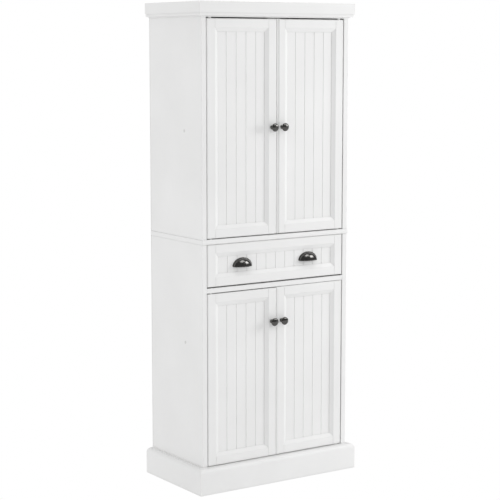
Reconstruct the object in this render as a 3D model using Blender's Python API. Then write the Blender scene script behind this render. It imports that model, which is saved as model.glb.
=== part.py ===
"""Pantry cabinet: a tall painted cupboard with two doors above, one drawer and two doors below.

World frame: +X to the right, the front faces -Y, +Z up, in metres. The origin is on the floor,
midway across the width and midway between the back panel and the tips of the knobs.
Each sub-part is one named object. The pieces of a door or of the drawer hang from an empty
that stands on their joint's axis.
"""
import math

import bmesh
import bpy
from mathutils import Vector

# ---------------------------------------------------------------- driving dimensions (metres)
HEIGHT = 1.829
BODY_WIDTH = 0.668
BODY_DEPTH = 0.374          # back panel's outer face to the front of the doors
SIDE_THICK = 0.020
BOARD_THICK = 0.018
BACK_THICK = 0.004
GAP = 0.0003                # room left between two pieces that touch
REVEAL = 0.003              # upright gap beside a door
GAP_BELOW = {"door_upper_left": 0.003, "door_upper_right": 0.003,
             "door_lower_left": 0.0014, "door_lower_right": 0.0020}
GAP_ABOVE = {"door_upper_left": 0.0045, "door_upper_right": 0.0045,
             "door_lower_left": 0.0036, "door_lower_right": 0.0016}

WAIST_TOP = 0.959           # top of the board between the two halves
WAIST_OVERHANG = 0.005
DIVIDER_TOP = 0.7768        # board under the drawer
FLOOR_TOP = 0.0985          # bottom board of the lower cupboard
OPENING_TOP = 1.773         # underside of the header rail
TOP_THICK = 0.018

CROWN_OVERHANG = 0.018
CROWN_FASCIA = 0.041
CROWN_STEP = 0.0035
CROWN_BAND = 0.010
PLINTH_OVERHANG = 0.028
PLINTH_FACE = 0.082
PLINTH_NOSE = 0.015

DOOR_THICK = 0.020
DOOR_ROUND = 0.0045         # rounding of a front's outer edge
STILE_FLAT = 0.0325
RAIL_FLAT = 0.0335
DRAWER_RAIL_FLAT = 0.0305
OGEE_WIDTH = 0.0175
RECESS = 0.009              # depth of a panel behind the front
PANEL_THICK = 0.006
PANEL_TONGUE = 0.007        # panel edge held in the frame's groove
BEAD_PITCH = 0.0436
BEAD_WIDTH = 0.0036
BEAD_DEPTH = 0.0018
DRAWER_GAP_BELOW = 0.0045
DRAWER_GAP_ABOVE = 0.0015

KNOB_PROJECTION = 0.030
KNOB_RADIUS = 0.0155
KNOB_X = 0.023
UPPER_KNOB_Z = 1.366
LOWER_KNOB_Z = 0.627
PULL_X = 0.1516
PULL_Z = 0.848              # lower rim of a cup pull
PULL_HALF_WIDTH = 0.041
PULL_HEIGHT = 0.031
PULL_DEPTH = 0.025
PULL_WALL = 0.0022
PULL_FLANGE = 0.003
PULL_FLANGE_THICK = 0.0016

PIVOT_INSET = 0.018         # pivot axis from a door's outer edge
PIN_RADIUS = 0.003
PIN_LENGTH = 0.010
COLLAR_RADIUS = 0.0065
SHANK_RADIUS = 0.004
SHANK_LENGTH = 0.012

FIXED_SHELF_UPPER_Z = 1.356
FIXED_SHELF_LOWER_Z = 0.559
LOOSE_SHELF_Z = 1.568
SHELF_THICK = 0.016
SHELF_SETBACK = 0.036
PEG_RADIUS = 0.0025
PEG_DEPTH = 0.009
PEG_PITCH = 0.032
PEG_ROW_COUNT = 5

SLIDE_LENGTH = 0.300
SLIDE_SPACE = 0.0130        # between the case side and the drawer side
SLIDE_Z = 0.842
SLIDE_HEIGHT = 0.036
SLIDE_WALL = 0.0015
DRAWER_SIDE_THICK = 0.012
DRAWER_BOX_DEPTH = 0.320
DRAWER_BOX_LOW = 0.794
DRAWER_BOX_HIGH = 0.908
DRAWER_FLOOR_Z = 0.802
DRAWER_FLOOR_THICK = 0.004
DRAWER_GROOVE = 0.006

# ---------------------------------------------------------------- derived places
Y_FRONT = -(BODY_DEPTH + KNOB_PROJECTION) / 2 + KNOB_PROJECTION
Y_BACK = Y_FRONT + BODY_DEPTH
Y_CASE_BACK = Y_BACK - BACK_THICK - GAP
HALF_BODY = BODY_WIDTH / 2
HALF_OPENING = HALF_BODY - SIDE_THICK
WAIST_LOW = WAIST_TOP - BOARD_THICK
DIVIDER_LOW = DIVIDER_TOP - BOARD_THICK
TOP_LOW = HEIGHT - TOP_THICK
DOOR_EDGE = HALF_OPENING - REVEAL
DOOR_MEET = REVEAL / 2
PIVOT_X = DOOR_EDGE - PIVOT_INSET
PIVOT_Y = Y_FRONT + DOOR_THICK / 2
UPPER_OPENING = (WAIST_TOP, OPENING_TOP)
LOWER_OPENING = (FLOOR_TOP, DIVIDER_LOW)
DRAWER_FRONT = (DIVIDER_TOP + DRAWER_GAP_BELOW, WAIST_LOW - DRAWER_GAP_ABOVE)
DRAWER_SIDE_X = HALF_OPENING - SLIDE_SPACE


# ---------------------------------------------------------------- general makers
def clear_objects():
    for ob in list(bpy.data.objects):
        bpy.data.objects.remove(ob, do_unlink=True)


def make_material(name, colour, roughness, metallic=0.0):
    mat = bpy.data.materials.new(name)
    mat.use_nodes = True
    shader = mat.node_tree.nodes["Principled BSDF"]
    shader.inputs["Base Color"].default_value = (*colour, 1.0)
    shader.inputs["Roughness"].default_value = roughness
    shader.inputs["Metallic"].default_value = metallic
    return mat


def make_axis(name, x, y, z):
    """An empty on a joint's axis; the moving pieces are its children."""
    empty = bpy.data.objects.new(name, None)
    empty.location = (x, y, z)
    bpy.context.collection.objects.link(empty)
    return empty


def make_object(name, points, faces, mat, parent=None):
    """An object from world points, with its origin at its middle, under its parent empty."""
    low = [min(p[i] for p in points) for i in range(3)]
    high = [max(p[i] for p in points) for i in range(3)]
    middle = Vector([(a + b) / 2 for a, b in zip(low, high)])
    mesh = bpy.data.meshes.new(name)
    mesh.from_pydata([Vector(p) - middle for p in points], [], faces)
    bm = bmesh.new()
    bm.from_mesh(mesh)
    bmesh.ops.remove_doubles(bm, verts=bm.verts, dist=1e-6)
    bmesh.ops.recalc_face_normals(bm, faces=bm.faces)
    bm.to_mesh(mesh)
    bm.free()
    mesh.materials.append(mat)
    ob = bpy.data.objects.new(name, mesh)
    bpy.context.collection.objects.link(ob)
    ob.location = middle
    if parent:
        ob.parent = parent
        ob.location = middle - parent.location
    return ob


def smooth(ob, degrees=35):
    ob.data.shade_smooth()
    ob.data.set_sharp_from_angle(angle=math.radians(degrees))
    return ob


def soften(ob, width=0.0008, segments=1):
    """Breaks the sharp arrises of a board."""
    bevel = ob.modifiers.new("arris", "BEVEL")
    bevel.width = width
    bevel.segments = segments
    bevel.limit_method = "ANGLE"
    return ob


def board(name, x, y, z, mat, parent=None, arris=0.0008):
    """A rectangular board between the limits x, y and z, each a (low, high) pair."""
    points = [(a, b, c) for a in x for b in y for c in z]
    faces = [(0, 1, 3, 2), (4, 6, 7, 5), (0, 4, 5, 1), (2, 3, 7, 6), (0, 2, 6, 4), (1, 5, 7, 3)]
    ob = make_object(name, points, faces, mat, parent)
    return soften(ob, arris) if arris else ob


def prism(name, outline, axis, low, high, mat, parent=None):
    """An outline of (a, b) points carried along X, Y or Z; a and b are the other two axes in order."""
    def point(a, b, c):
        return {"X": (c, a, b), "Y": (a, c, b), "Z": (a, b, c)}[axis]

    count = len(outline)
    points = [point(a, b, c) for c in (low, high) for a, b in outline]
    faces = [tuple(range(count)), tuple(range(count, 2 * count))]
    for i in range(count):
        j = (i + 1) % count
        faces.append((i, j, count + j, count + i))
    return make_object(name, points, faces, mat, parent)


def turned(name, profile, centre, axis, mat, parent=None, sides=16):
    """A profile of (distance along the axis, radius) points turned about X, Y or Z; ends at radius 0."""
    cx, cy, cz = centre
    points = []
    for along, radius in profile:
        for k in range(sides):
            a = 2 * math.pi * k / sides
            u = radius * math.cos(a)
            v = radius * math.sin(a)
            offset = {"X": (along, u, v), "Y": (u, along, v), "Z": (u, v, along)}[axis]
            points.append((cx + offset[0], cy + offset[1], cz + offset[2]))
    faces = []
    for r in range(len(profile) - 1):
        for k in range(sides):
            j = (k + 1) % sides
            faces.append((r * sides + k, r * sides + j, (r + 1) * sides + j, (r + 1) * sides + k))
    if profile[0][1] > 0:
        faces.append(tuple(range(sides)))
    if profile[-1][1] > 0:
        last = (len(profile) - 1) * sides
        faces.append(tuple(range(last, last + sides)))
    return smooth(make_object(name, points, faces, mat, parent))


def cut_holes(ob, holes, axis, sides=16):
    """Bores holes, each (centre, radius, low, high) along the axis, with one cutter object."""
    points = []
    faces = []
    for (cx, cy, cz), radius, low, high in holes:
        start = len(points)
        for c in (low, high):
            for k in range(sides):
                a = 2 * math.pi * k / sides
                u = radius * math.cos(a)
                v = radius * math.sin(a)
                points.append({"X": (c, cy + u, cz + v), "Z": (cx + u, cy + v, c)}[axis])
        faces.append(tuple(range(start, start + sides)))
        faces.append(tuple(range(start + sides, start + 2 * sides)))
        for k in range(sides):
            j = (k + 1) % sides
            faces.append((start + k, start + j, start + sides + j, start + sides + k))
    cutter = make_object(ob.name + "_cutter", points, faces, ob.data.materials[0])
    cutter.hide_render = True
    cutter.display_type = "WIRE"
    cut = ob.modifiers.new("bores", "BOOLEAN")
    cut.operation = "DIFFERENCE"
    cut.object = cutter
    return ob


# ---------------------------------------------------------------- the case
def wrap_moulding(prefix, outline, mat):
    """Three strips of one outline round the front and sides, mitred at the front corners.

    outline holds (projection from the body, height) points.
    """
    rear = Y_BACK
    count = len(outline)
    ring = [tuple(range(count)), tuple(range(count, 2 * count))]
    for i in range(count):
        j = (i + 1) % count
        ring.append((i, j, count + j, count + i))
    front = []
    for sign in (-1, 1):
        front += [(sign * (HALF_BODY + p - GAP), Y_FRONT - p, z) for p, z in outline]
    make_object(prefix + "_front", front, ring, mat)
    for side, sign in (("left", -1), ("right", 1)):
        fore = [(sign * (HALF_BODY + p), Y_FRONT - p + GAP, z) for p, z in outline]
        aft = [(sign * (HALF_BODY + p), rear, z) for p, z in outline]
        make_object(f"{prefix}_{side}", fore + aft, ring, mat)


def crown_outline():
    """Fascia, a small step in, a narrow band and a shallow cove down to the body."""
    fascia_low = HEIGHT - CROWN_FASCIA
    band_out = CROWN_OVERHANG - CROWN_STEP
    band_low = fascia_low - CROWN_BAND
    drop = band_low - OPENING_TOP
    points = [(GAP, HEIGHT), (CROWN_OVERHANG - 0.001, HEIGHT), (CROWN_OVERHANG, HEIGHT - 0.001)]
    points += [(CROWN_OVERHANG, fascia_low + 0.001), (CROWN_OVERHANG - 0.001, fascia_low)]
    points += [(band_out, fascia_low), (band_out, band_low)]
    for k in range(1, 5):
        a = math.radians(22.5 * k)
        points.append((GAP + (band_out - GAP) * (1 - math.sin(a)), OPENING_TOP + drop * math.cos(a)))
    return points


def plinth_outline():
    """A plain face with a rounded nose and a small quirk under the body."""
    quirk = 0.003
    nose_in = PLINTH_OVERHANG - 0.016
    points = [(GAP, 0.0), (PLINTH_OVERHANG, 0.0), (PLINTH_OVERHANG, PLINTH_FACE)]
    for k in range(1, 7):
        a = math.radians(15 * k)
        out = nose_in + (PLINTH_OVERHANG - nose_in) * math.cos(a)
        points.append((out, PLINTH_FACE + PLINTH_NOSE * math.sin(a)))
    points += [(nose_in - quirk, PLINTH_FACE + PLINTH_NOSE), (nose_in - quirk, FLOOR_TOP), (GAP, FLOOR_TOP)]
    return points


def pivot_holes(low, high):
    radius = PIN_RADIUS + GAP
    return [((s * PIVOT_X, PIVOT_Y, 0), radius, low, high) for s in (-1, 1)]


def peg_holes(sign):
    """Rows of shelf peg holes in an upper side, round the loose shelf's height."""
    inner = sign * HALF_OPENING
    outer = inner + sign * PEG_DEPTH
    low, high = sorted((inner - sign * 0.002, outer))
    holes = []
    for y in peg_rows():
        for k in range(PEG_ROW_COUNT):
            z = peg_height() + (k - PEG_ROW_COUNT // 2) * PEG_PITCH
            holes.append(((0, y, z), PEG_RADIUS + GAP, low, high))
    return holes


def peg_rows():
    return (Y_FRONT + SHELF_SETBACK + 0.040, Y_CASE_BACK - 0.045)


def peg_height():
    return LOOSE_SHELF_Z - SHELF_THICK / 2 - GAP - PEG_RADIUS


def make_sides(paint):
    for side, sign in (("left", -1), ("right", 1)):
        x = tuple(sorted((sign * HALF_BODY, sign * HALF_OPENING)))
        upper = board(f"side_upper_{side}", x, (Y_FRONT, Y_CASE_BACK),
                      (WAIST_TOP + GAP, TOP_LOW - GAP), paint)
        cut_holes(upper, peg_holes(sign), "X", sides=12)
        board(f"side_lower_{side}", x, (Y_FRONT, Y_CASE_BACK), (0.0, WAIST_LOW - GAP), paint)


def make_waist_board(paint):
    """The board between the halves, with a rounded nose at the front and both ends."""
    half = HALF_BODY + WAIST_OVERHANG
    front = Y_FRONT - WAIST_OVERHANG
    ob = board("waist_board", (-half, half), (front, Y_CASE_BACK), (WAIST_LOW, WAIST_TOP), paint,
               arris=0)
    bm = bmesh.new()
    bm.from_mesh(ob.data)
    rear = max(v.co.y for v in bm.verts)
    nose = [e for e in bm.edges
            if abs(e.verts[0].co.z - e.verts[1].co.z) < 1e-6
            and not all(abs(v.co.y - rear) < 1e-6 for v in e.verts)]
    bmesh.ops.bevel(bm, geom=nose, offset=WAIST_OVERHANG, segments=3, profile=0.5, affect="EDGES")
    bmesh.ops.recalc_face_normals(bm, faces=bm.faces)
    bm.to_mesh(ob.data)
    bm.free()
    cut_holes(ob, pivot_holes(WAIST_TOP - PIN_LENGTH - 2 * GAP, WAIST_TOP + 0.002), "Z")


def make_case_boards(paint, white_board):
    inner = (-HALF_OPENING + GAP, HALF_OPENING - GAP)
    depth = (Y_FRONT, Y_CASE_BACK)
    board("top_panel", (-HALF_BODY, HALF_BODY), depth, (TOP_LOW, HEIGHT), paint)
    header = board("header_rail", inner, (Y_FRONT, Y_FRONT + DOOR_THICK), (OPENING_TOP, TOP_LOW - GAP), paint)
    cut_holes(header, pivot_holes(OPENING_TOP - 0.002, OPENING_TOP + PIN_LENGTH + 2 * GAP), "Z")
    divider = board("drawer_divider", inner, depth, (DIVIDER_LOW, DIVIDER_TOP), paint)
    cut_holes(divider, pivot_holes(DIVIDER_LOW - 0.002, DIVIDER_LOW + PIN_LENGTH + 2 * GAP), "Z")
    floor = board("bottom_panel", inner, depth, (FLOOR_TOP - BOARD_THICK, FLOOR_TOP), paint)
    cut_holes(floor, pivot_holes(FLOOR_TOP - PIN_LENGTH - 2 * GAP, FLOOR_TOP + 0.002), "Z")
    split = (WAIST_TOP + WAIST_LOW) / 2
    back_x = (-HALF_BODY, HALF_BODY)
    back_y = (Y_BACK - BACK_THICK, Y_BACK)
    board("back_panel_upper", back_x, back_y, (split + GAP, HEIGHT), white_board, arris=0)
    board("back_panel_lower", back_x, back_y, (0.015, split - GAP), white_board, arris=0)


def make_shelves(paint):
    x = (-HALF_OPENING + GAP, HALF_OPENING - GAP)
    loose_x = (-HALF_OPENING + 0.001, HALF_OPENING - 0.001)
    y = (Y_FRONT + SHELF_SETBACK, Y_CASE_BACK - GAP)
    half = SHELF_THICK / 2
    for name, limits, z in (("shelf_upper_fixed", x, FIXED_SHELF_UPPER_Z),
                            ("shelf_upper_loose", loose_x, LOOSE_SHELF_Z),
                            ("shelf_lower_fixed", x, FIXED_SHELF_LOWER_Z)):
        board(name, limits, y, (z - half, z + half), paint)


def make_shelf_pegs(zinc):
    """Four pegs in the sides under the loose shelf, each with a thin collar."""
    for side, sign in (("left", -1), ("right", 1)):
        for place, y in zip(("front", "rear"), peg_rows()):
            profile = [(-PEG_DEPTH + GAP, PEG_RADIUS - 0.0005), (-PEG_DEPTH + 0.0008, PEG_RADIUS),
                       (-GAP, PEG_RADIUS), (0.0085, PEG_RADIUS), (0.009, PEG_RADIUS - 0.0005)]
            profile = [(-sign * along, radius) for along, radius in profile]
            centre = (sign * HALF_OPENING, y, peg_height())
            turned(f"shelf_peg_{side}_{place}", profile, centre, "X", zinc, sides=12)


def make_catches(plastic):
    """Double magnetic catches behind the meeting edges of each pair of doors."""
    back = Y_FRONT + DOOR_THICK
    pole = back + 0.0016
    rear = back + 0.0145
    upper = [(back + GAP, OPENING_TOP + 0.001), (back + GAP, OPENING_TOP + 0.026),
             (rear, OPENING_TOP + 0.026), (rear, OPENING_TOP - 0.018),
             (pole, OPENING_TOP - 0.018), (pole, OPENING_TOP + 0.001)]
    soften(prism("magnetic_catch_upper", upper, "X", -0.030, 0.030, plastic), 0.0006)
    board("magnetic_catch_lower", (-0.030, 0.030), (pole, rear + 0.004),
          (DIVIDER_LOW - 0.018, DIVIDER_LOW - GAP), plastic, arris=0.0006)


# ---------------------------------------------------------------- fronts
def frame_section(rail_extra):
    """The section of a framed front, as (inset on a stile, inset on a rail, depth) points.

    It starts at the outer edge behind the rounding and runs over the front face, down the ogee,
    round the panel groove and back along the rear face.
    """
    r = DOOR_ROUND
    inner = STILE_FLAT + OGEE_WIDTH
    groove_in = inner - PANEL_TONGUE - GAP
    groove_front = RECESS - GAP
    groove_back = RECESS + PANEL_THICK + GAP
    points = []
    for k in range(4):
        a = math.radians(30 * k)
        points.append((r - r * math.cos(a), r - r * math.sin(a)))
    lip = RECESS - 0.0022
    for k in range(6):
        t = k / 5
        points.append((STILE_FLAT + OGEE_WIDTH * t, lip * (3 * t * t - 2 * t ** 3)))
    points += [(inner, groove_front), (groove_in, groove_front), (groove_in, groove_back)]
    points += [(inner, groove_back), (inner, DOOR_THICK), (0.001, DOOR_THICK), (0.0, DOOR_THICK - 0.001)]
    return [(u, u + (rail_extra if u > 2 * r else 0.0), v) for u, v in points]


def framed_front(name, x, z, rail_extra, mat, parent):
    """Stiles and rails glued into one frame: the section carried round the four mitred corners."""
    section = frame_section(rail_extra)
    count = len(section)
    corners = ((0, 1, 0, 1), (1, -1, 0, 1), (1, -1, 1, -1), (0, 1, 1, -1))
    points = []
    for ix, sx, iz, sz in corners:
        points += [(x[ix] + sx * u, Y_FRONT + v, z[iz] + sz * w) for u, w, v in section]
    faces = []
    for c in range(4):
        for i in range(count):
            j = (i + 1) % count
            d = (c + 1) % 4
            faces.append((c * count + i, c * count + j, d * count + j, d * count + i))
    return make_object(name, points, faces, mat, parent)


def bead_panel(name, x, z, rail_extra, bead_count, mat, parent):
    """A flat panel with upright V grooves, held in the frame's groove."""
    inset = STILE_FLAT + OGEE_WIDTH - PANEL_TONGUE
    low = x[0] + inset
    high = x[1] - inset
    middle = (x[0] + x[1]) / 2
    front = Y_FRONT + RECESS
    half = BEAD_WIDTH / 2
    outline = [(low, front + PANEL_THICK), (low, front)]
    for k in range(bead_count):
        c = middle + (k - (bead_count - 1) / 2) * BEAD_PITCH
        outline += [(c - half, front), (c, front + BEAD_DEPTH), (c + half, front)]
    outline += [(high, front), (high, front + PANEL_THICK)]
    bottom = z[0] + inset + rail_extra
    top = z[1] - inset - rail_extra
    return prism(name, outline, "Z", bottom, top, mat, parent)


def knob_profile():
    """Foot, waisted neck and domed head, as (distance from the front, radius) points."""
    profile = [(GAP, 0.0076), (0.0022, 0.0080), (0.0034, 0.0072), (0.0046, 0.0056), (0.0080, 0.0054),
               (0.0120, 0.0066), (0.0165, 0.0105), (0.0195, 0.0142), (0.0215, KNOB_RADIUS)]
    crown_start = 0.0215
    rise = KNOB_PROJECTION - crown_start
    for k in range(1, 5):
        a = math.radians(22.5 * k)
        profile.append((crown_start + rise * math.sin(a), KNOB_RADIUS * math.cos(a) if k < 4 else 0.0))
    return [(-along, radius) for along, radius in profile]


def make_pivot(name, x, edge_z, direction, gap, zinc, parent):
    """A door pivot: shank in the door's edge, collar in the gap, pin in the board beyond."""
    profile = [(-SHANK_LENGTH, SHANK_RADIUS), (GAP, SHANK_RADIUS), (GAP, COLLAR_RADIUS),
               (gap - GAP, COLLAR_RADIUS), (gap - GAP, PIN_RADIUS),
               (gap + PIN_LENGTH - 0.001, PIN_RADIUS), (gap + PIN_LENGTH, PIN_RADIUS - 0.001)]
    profile = [(direction * along, radius) for along, radius in profile]
    turned(name, profile, (x, PIVOT_Y, edge_z), "Z", zinc, parent)


def make_door(level, side, opening, knob_z, mats):
    """One door with its panel, knob and pivots, in an opening given by its lowest and highest z."""
    sign = -1 if side == "left" else 1
    name = f"door_{level}_{side}"
    z = (opening[0] + GAP_BELOW[name], opening[1] - GAP_ABOVE[name])
    x = tuple(sorted((sign * DOOR_EDGE, sign * DOOR_MEET)))
    pivot_x = sign * PIVOT_X
    axis = make_axis(name + "_axis", pivot_x, PIVOT_Y, z[0])
    rail_extra = RAIL_FLAT - STILE_FLAT
    frame = framed_front(name + "_frame", x, z, rail_extra, mats["paint"], axis)
    depth = SHANK_LENGTH + GAP
    shank = SHANK_RADIUS + GAP
    centre = (pivot_x, PIVOT_Y, 0)
    cut_holes(frame, [(centre, shank, z[0] - 0.002, z[0] + depth),
                      (centre, shank, z[1] - depth, z[1] + 0.002)], "Z")
    bead_panel(name + "_panel", x, z, rail_extra, 4, mats["paint"], axis)
    turned(name + "_knob", knob_profile(), (sign * KNOB_X, Y_FRONT, knob_z), "Y", mats["bronze"], axis,
           sides=20)
    make_pivot(name + "_pivot_top", pivot_x, z[1], 1, GAP_ABOVE[name], mats["zinc"], axis)
    make_pivot(name + "_pivot_bottom", pivot_x, z[0], -1, GAP_BELOW[name], mats["zinc"], axis)


# ---------------------------------------------------------------- the drawer
def cup_pull(name, x, bronze, parent):
    """A half-dome pull, open below: the upper front quarter of an ellipsoid shell on a thin flange."""
    steps = 14
    rings = 5
    y0 = Y_FRONT + RECESS - GAP
    inner_half = PULL_HALF_WIDTH - PULL_WALL
    inner_height = PULL_HEIGHT - PULL_WALL
    outer_depth = PULL_DEPTH - PULL_FLANGE_THICK
    points = []
    for s in range(steps + 1):
        a = math.pi * s / steps
        ca = math.cos(a)
        sa = math.sin(a) if 0 < s < steps else 0.0
        rim_x = (PULL_HALF_WIDTH + PULL_FLANGE) * ca
        rim_z = (PULL_HEIGHT + PULL_FLANGE) * sa
        loop = [(rim_x, 0.0, rim_z), (rim_x, PULL_FLANGE_THICK, rim_z)]
        for k in range(rings + 1):
            b = math.pi / 2 * k / rings
            cb = math.cos(b) if k < rings else 0.0
            loop.append((PULL_HALF_WIDTH * ca, PULL_FLANGE_THICK + outer_depth * sa * math.sin(b),
                         PULL_HEIGHT * sa * cb))
        for k in range(rings, -1, -1):
            b = math.pi / 2 * k / rings
            cb = math.cos(b) if k < rings else 0.0
            loop.append((inner_half * ca, (PULL_DEPTH - PULL_WALL) * sa * math.sin(b), inner_height * sa * cb))
        points += [(x + px, y0 - out, PULL_Z + pz) for px, out, pz in loop]
    count = 2 * rings + 4
    faces = [(0, 1, 2, count - 1)]
    last = steps * count
    faces.append((last, last + 1, last + 2, last + count - 1))
    for s in range(steps):
        for i in range(count):
            j = (i + 1) % count
            faces.append((s * count + i, s * count + j, (s + 1) * count + j, (s + 1) * count + i))
    return smooth(make_object(name, points, faces, bronze, parent))


def slide_members(sign, zinc, drawer_axis):
    """A channel on the case side, and the rail on the drawer side that runs inside it."""
    wall = HALF_OPENING - GAP
    mouth = HALF_OPENING - SLIDE_SPACE + 0.0030
    t = SLIDE_WALL
    lip = 0.0060
    low = SLIDE_Z - SLIDE_HEIGHT / 2
    high = SLIDE_Z + SLIDE_HEIGHT / 2
    channel = [(wall, low), (wall, high), (mouth, high), (mouth, high - lip), (mouth + t, high - lip),
               (mouth + t, high - t), (wall - t, high - t), (wall - t, low + t), (mouth + t, low + t),
               (mouth + t, low + lip), (mouth, low + lip), (mouth, low)]
    side = "left" if sign < 0 else "right"
    start = Y_FRONT + 0.024
    prism(f"slide_channel_{side}", [(sign * x, z) for x, z in channel], "Y", start, start + SLIDE_LENGTH, zinc)
    face = DRAWER_SIDE_X + GAP
    foot_in = mouth + t + 0.0006
    foot_out = foot_in + 0.0040
    neck = 0.005
    foot = SLIDE_HEIGHT / 2 - t - 0.0006
    rail = [(face, SLIDE_Z - neck), (foot_in, SLIDE_Z - neck), (foot_in, SLIDE_Z - foot),
            (foot_out, SLIDE_Z - foot), (foot_out, SLIDE_Z + foot), (foot_in, SLIDE_Z + foot),
            (foot_in, SLIDE_Z + neck), (face, SLIDE_Z + neck)]
    prism(f"slide_rail_{side}", [(sign * x, z) for x, z in rail], "Y", start + 0.002,
          start + SLIDE_LENGTH - 0.010, zinc, drawer_axis)


def make_drawer(mats):
    x = (-DOOR_EDGE, DOOR_EDGE)
    z = DRAWER_FRONT
    axis = make_axis("drawer_axis", 0.0, Y_FRONT, SLIDE_Z)
    rail_extra = DRAWER_RAIL_FLAT - STILE_FLAT
    framed_front("drawer_front_frame", x, z, rail_extra, mats["paint"], axis)
    bead_panel("drawer_front_panel", x, z, rail_extra, 11, mats["paint"], axis)
    start = Y_FRONT + DOOR_THICK + GAP
    end = start + DRAWER_BOX_DEPTH
    outer = DRAWER_SIDE_X
    inner = outer - DRAWER_SIDE_THICK
    groove = inner + DRAWER_GROOVE
    floor_low = DRAWER_FLOOR_Z - GAP
    floor_high = DRAWER_FLOOR_Z + DRAWER_FLOOR_THICK + GAP
    section = [(outer, DRAWER_BOX_LOW), (outer, DRAWER_BOX_HIGH), (inner, DRAWER_BOX_HIGH), (inner, floor_high),
               (groove, floor_high), (groove, floor_low), (inner, floor_low), (inner, DRAWER_BOX_LOW)]
    for side, sign in (("left", -1), ("right", 1)):
        prism(f"drawer_side_{side}", [(sign * a, b) for a, b in section], "Y", start, end, mats["wood"], axis)
        slide_members(sign, mats["zinc"], axis)
        cup_pull(f"cup_pull_{side}", sign * PULL_X, mats["bronze"], axis)
    board("drawer_back", (-inner + GAP, inner - GAP), (end - DRAWER_SIDE_THICK, end),
          (floor_high, DRAWER_BOX_HIGH), mats["wood"], axis, arris=0.0006)
    board("drawer_bottom", (-groove + GAP, groove - GAP), (start, end),
          (DRAWER_FLOOR_Z, DRAWER_FLOOR_Z + DRAWER_FLOOR_THICK), mats["board"], axis, arris=0)


# ---------------------------------------------------------------- assembly
def build():
    clear_objects()
    mats = {
        "paint": make_material("white_paint", (0.84, 0.84, 0.83), 0.42),
        "board": make_material("white_board", (0.80, 0.80, 0.79), 0.55),
        "wood": make_material("drawer_wood", (0.72, 0.58, 0.42), 0.55),
        "bronze": make_material("dark_bronze", (0.055, 0.048, 0.045), 0.32, 0.9),
        "zinc": make_material("zinc_plate", (0.70, 0.70, 0.71), 0.35, 1.0),
        "plastic": make_material("white_plastic", (0.82, 0.82, 0.80), 0.45),
    }
    make_sides(mats["paint"])
    make_waist_board(mats["paint"])
    make_case_boards(mats["paint"], mats["board"])
    make_shelves(mats["paint"])
    make_shelf_pegs(mats["zinc"])
    wrap_moulding("crown", crown_outline(), mats["paint"])
    wrap_moulding("plinth", plinth_outline(), mats["paint"])
    make_catches(mats["plastic"])
    for side in ("left", "right"):
        make_door("upper", side, UPPER_OPENING, UPPER_KNOB_Z, mats)
        make_door("lower", side, LOWER_OPENING, LOWER_KNOB_Z, mats)
    make_drawer(mats)


build()
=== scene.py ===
"""Looks of the white pantry cabinet: every visible piece and finish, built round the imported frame.

World frame: +X to the right, the front faces -Y, +Z up, in metres.
"""
import math

import bmesh
import bpy
import numpy as np
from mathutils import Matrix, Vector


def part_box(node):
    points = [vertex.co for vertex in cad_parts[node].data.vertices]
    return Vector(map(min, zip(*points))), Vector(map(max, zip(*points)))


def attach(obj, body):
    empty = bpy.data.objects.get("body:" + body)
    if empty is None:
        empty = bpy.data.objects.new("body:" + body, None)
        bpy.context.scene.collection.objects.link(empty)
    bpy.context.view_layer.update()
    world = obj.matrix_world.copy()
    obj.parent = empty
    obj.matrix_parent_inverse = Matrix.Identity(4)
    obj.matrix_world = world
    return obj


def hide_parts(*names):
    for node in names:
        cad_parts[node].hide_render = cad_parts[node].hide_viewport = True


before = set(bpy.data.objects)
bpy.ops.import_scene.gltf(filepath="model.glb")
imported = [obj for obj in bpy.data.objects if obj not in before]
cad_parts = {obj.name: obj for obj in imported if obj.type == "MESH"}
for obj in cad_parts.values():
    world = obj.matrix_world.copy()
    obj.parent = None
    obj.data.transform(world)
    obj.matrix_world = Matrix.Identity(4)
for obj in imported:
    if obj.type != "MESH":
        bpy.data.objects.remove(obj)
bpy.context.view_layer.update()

# ---------------------------------------------------------------- Studio
# The cabinet stands on a plain pale floor in a white room. An even sky lights it from all round, with
# a broad soft lamp at its front right, a fainter one at its left, and two that show in its gloss.
CAMERA_PLACE = (-3.2906, -4.8832, 1.6560)
CAMERA_TILT = 82.498
CAMERA_TURN = -33.922
CAMERA_LENS = 109.74
FLOOR_HALF = 40.0
FLOOR_LEVEL = -0.0003
FLOOR_TONE = (0.30, 0.30, 0.30, 1.0)
FLOOR_GLOW = 0.54
SKY_STRENGTH = 0.828
SKY_IN_METAL = 0.14
AIM = (0.0, -0.17, 0.95)
WHITE = (1.0, 1.0, 1.0, 1.0)


def add_node(tree, kind, inputs=None, **settings):
    """Adds a node; an input is given a value, or a socket that is then linked to it."""
    made = tree.nodes.new(kind)
    for key, value in settings.items():
        setattr(made, key, value)
    for key, value in (inputs or {}).items():
        if isinstance(value, bpy.types.NodeSocket):
            tree.links.new(value, made.inputs[key])
        else:
            made.inputs[key].default_value = value
    return made


def add_camera():
    """A long lens from the front left, a little below the cabinet's top."""
    data = bpy.data.cameras.new("camera")
    data.lens = CAMERA_LENS
    data.sensor_width = 36.0
    data.clip_end = 200.0
    camera = bpy.data.objects.new("camera", data)
    camera.location = CAMERA_PLACE
    camera.rotation_euler = (math.radians(CAMERA_TILT), 0.0, math.radians(CAMERA_TURN))
    bpy.context.scene.collection.objects.link(camera)
    bpy.context.scene.camera = camera


def add_lamp(name, direction, distance, size, power):
    """A square soft lamp on the line from the middle of the cabinet, facing back along it."""
    data = bpy.data.lights.new(name, "AREA")
    data.size = size
    data.energy = power
    lamp = bpy.data.objects.new(name, data)
    line = np.array(direction) / np.linalg.norm(direction)
    lamp.location = np.array(AIM) + distance * line
    lamp.rotation_euler = (math.acos(line[2]), 0.0, math.atan2(line[0], -line[1]))
    bpy.context.scene.collection.objects.link(lamp)
    return lamp


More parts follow.
